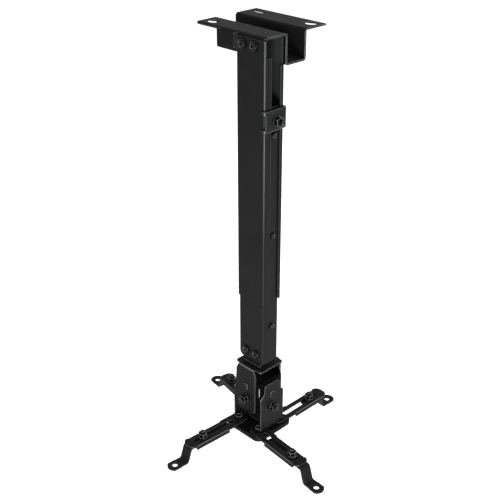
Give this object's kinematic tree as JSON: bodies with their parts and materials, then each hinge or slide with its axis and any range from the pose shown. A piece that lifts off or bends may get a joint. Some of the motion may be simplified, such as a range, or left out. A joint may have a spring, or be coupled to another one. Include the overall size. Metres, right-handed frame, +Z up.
{
  "type": "projector ceiling mount",
  "caption": "Telescopic ceiling mount of folded black steel: a slotted ceiling bracket, sliding column, two-axis tilting head and swinging slotted arms with sliding eyelet feet.",
  "frame": {"origin": "on the ceiling face, where the axis of the columns meets it", "axes": "+Z up to the ceiling; X along the ceiling bracket's folds, +X to the side where the outer column is open; +Y to the bracket's rear flange"},
  "size_m": [0.2638, 0.2548, 0.5202],
  "materials": {
    "plate_coat": "black powder coat, fine satin texture",
    "column_coat": "black powder coat, fine satin texture",
    "inner_coat": "black powder coat, fine satin texture",
    "clip_coat": "black powder coat, fine satin texture",
    "head_coat": "black powder coat, fine satin texture",
    "base_coat": "black powder coat, fine satin texture",
    "arm_coat": "black powder coat, fine satin texture",
    "foot_coat": "black powder coat, fine satin texture",
    "black_fasteners": "black zinc, satin"
  },
  "bodies": {
    "ceiling": {"ceiling_plate": "plate_coat", "outer_column": "column_coat", "top_bolts": "black_fasteners", "top_nuts": "black_fasteners"},
    "column": {"inner_column": "inner_coat", "guide_screws": "black_fasteners", "lock_clip": "clip_coat", "lock_bolt": "black_fasteners", "lock_washer": "black_fasteners", "lock_nut": "black_fasteners", "upper_yoke": "head_coat", "yoke_bolts": "black_fasteners", "yoke_nuts": "black_fasteners"},
    "cross": {"cross_bracket": "head_coat", "roll_pivots": "black_fasteners", "tilt_pivots": "black_fasteners", "roll_lock_bolts": "black_fasteners", "roll_lock_washers": "black_fasteners", "roll_lock_nuts": "black_fasteners", "tilt_lock_bolts": "black_fasteners", "tilt_lock_washers": "black_fasteners", "tilt_lock_nuts": "black_fasteners"},
    "head": {"lower_yoke": "head_coat", "base_plate": "base_coat", "corner_bolts": "black_fasteners", "corner_nuts": "black_fasteners"},
    "arm_front_left": {"arm_front_left": "arm_coat"},
    "foot_front_left": {"foot_front_left": "foot_coat", "foot_bolt_front_left": "black_fasteners", "foot_washer_front_left": "black_fasteners", "foot_nut_front_left": "black_fasteners"},
    "arm_front_right": {"arm_front_right": "arm_coat"},
    "foot_front_right": {"foot_front_right": "foot_coat", "foot_bolt_front_right": "black_fasteners", "foot_washer_front_right": "black_fasteners", "foot_nut_front_right": "black_fasteners"},
    "arm_rear_right": {"arm_rear_right": "arm_coat"},
    "foot_rear_right": {"foot_rear_right": "foot_coat", "foot_bolt_rear_right": "black_fasteners", "foot_washer_rear_right": "black_fasteners", "foot_nut_rear_right": "black_fasteners"},
    "arm_rear_left": {"arm_rear_left": "arm_coat"},
    "foot_rear_left": {"foot_rear_left": "foot_coat", "foot_bolt_rear_left": "black_fasteners", "foot_washer_rear_left": "black_fasteners", "foot_nut_rear_left": "black_fasteners"}
  },
  "joints": [
    {"name": "column_slide", "type": "slide", "parent": "ceiling", "child": "column", "axis": [0, 0, 1], "range_m": [-0.145, 0.044]},
    {"name": "head_roll", "type": "hinge", "parent": "column", "child": "cross", "pos_m": [0, 0, -0.437], "axis": [0, 1, 0], "range_deg": [-10, 10]},
    {"name": "head_tilt", "type": "hinge", "parent": "cross", "child": "head", "pos_m": [0, 0, -0.448], "axis": [1, 0, 0], "range_deg": [-15, 15]},
    {"name": "swing_front_left", "type": "hinge", "parent": "head", "child": "arm_front_left", "pos_m": [-0.0175, -0.018, -0.5], "axis": [0, 0, 1], "range_deg": [-22.4, 29.6]},
    {"name": "reach_front_left", "type": "slide", "parent": "arm_front_left", "child": "foot_front_left", "axis": [-0.0628, -0.998, 0], "range_m": [-0.0005, 0.01]},
    {"name": "swing_front_right", "type": "hinge", "parent": "head", "child": "arm_front_right", "pos_m": [0.0175, -0.018, -0.5], "axis": [0, 0, 1], "range_deg": [-21, 20]},
    {"name": "reach_front_right", "type": "slide", "parent": "arm_front_right", "child": "foot_front_right", "axis": [0.9962, -0.0872, 0], "range_m": [-0.004, 0.006]},
    {"name": "swing_rear_right", "type": "hinge", "parent": "head", "child": "arm_rear_right", "pos_m": [0.0175, 0.018, -0.5], "axis": [0, 0, 1], "range_deg": [-29.3, 26.7]},
    {"name": "reach_rear_right", "type": "slide", "parent": "arm_rear_right", "child": "foot_rear_right", "axis": [0.0122, 0.9999, 0], "range_m": [-0.017, 0.011]},
    {"name": "swing_rear_left", "type": "hinge", "parent": "head", "child": "arm_rear_left", "pos_m": [-0.0175, 0.018, -0.5], "axis": [0, 0, 1], "range_deg": [-18.8, 26.2]},
    {"name": "reach_rear_left", "type": "slide", "parent": "arm_rear_left", "child": "foot_rear_left", "axis": [-0.981, 0.1942, 0], "range_m": [-0.025, 0.0035]}
  ]
}
